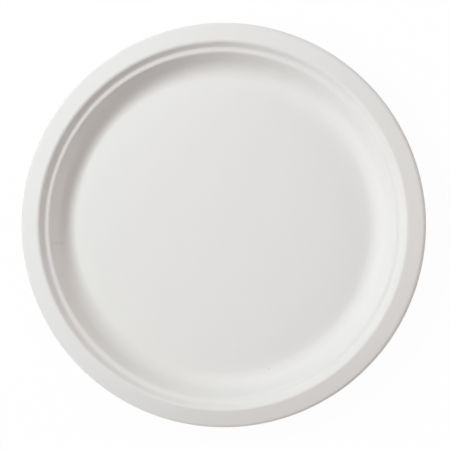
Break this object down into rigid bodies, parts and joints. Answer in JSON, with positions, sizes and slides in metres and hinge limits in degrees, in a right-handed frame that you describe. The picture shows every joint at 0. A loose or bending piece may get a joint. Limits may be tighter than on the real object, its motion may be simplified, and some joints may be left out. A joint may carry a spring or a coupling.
{
  "type": "paper plate",
  "caption": "Round white plate pressed from paper pulp, with a shallow well, a stacking ledge under the rim and a rolled-down lip.",
  "frame": {"origin": "centre of the flat base's underside, on the surface that the plate stands on", "axes": "+Z along the plate's axis of revolution, from the base up to the rim"},
  "size_m": [0.26, 0.26, 0.02],
  "materials": {
    "moulded_pulp": "matte pressed paper pulp, smooth above and with a faint mesh imprint beneath"
  },
  "bodies": {
    "root": {"plate": "moulded_pulp"}
  },
  "joints": []
}
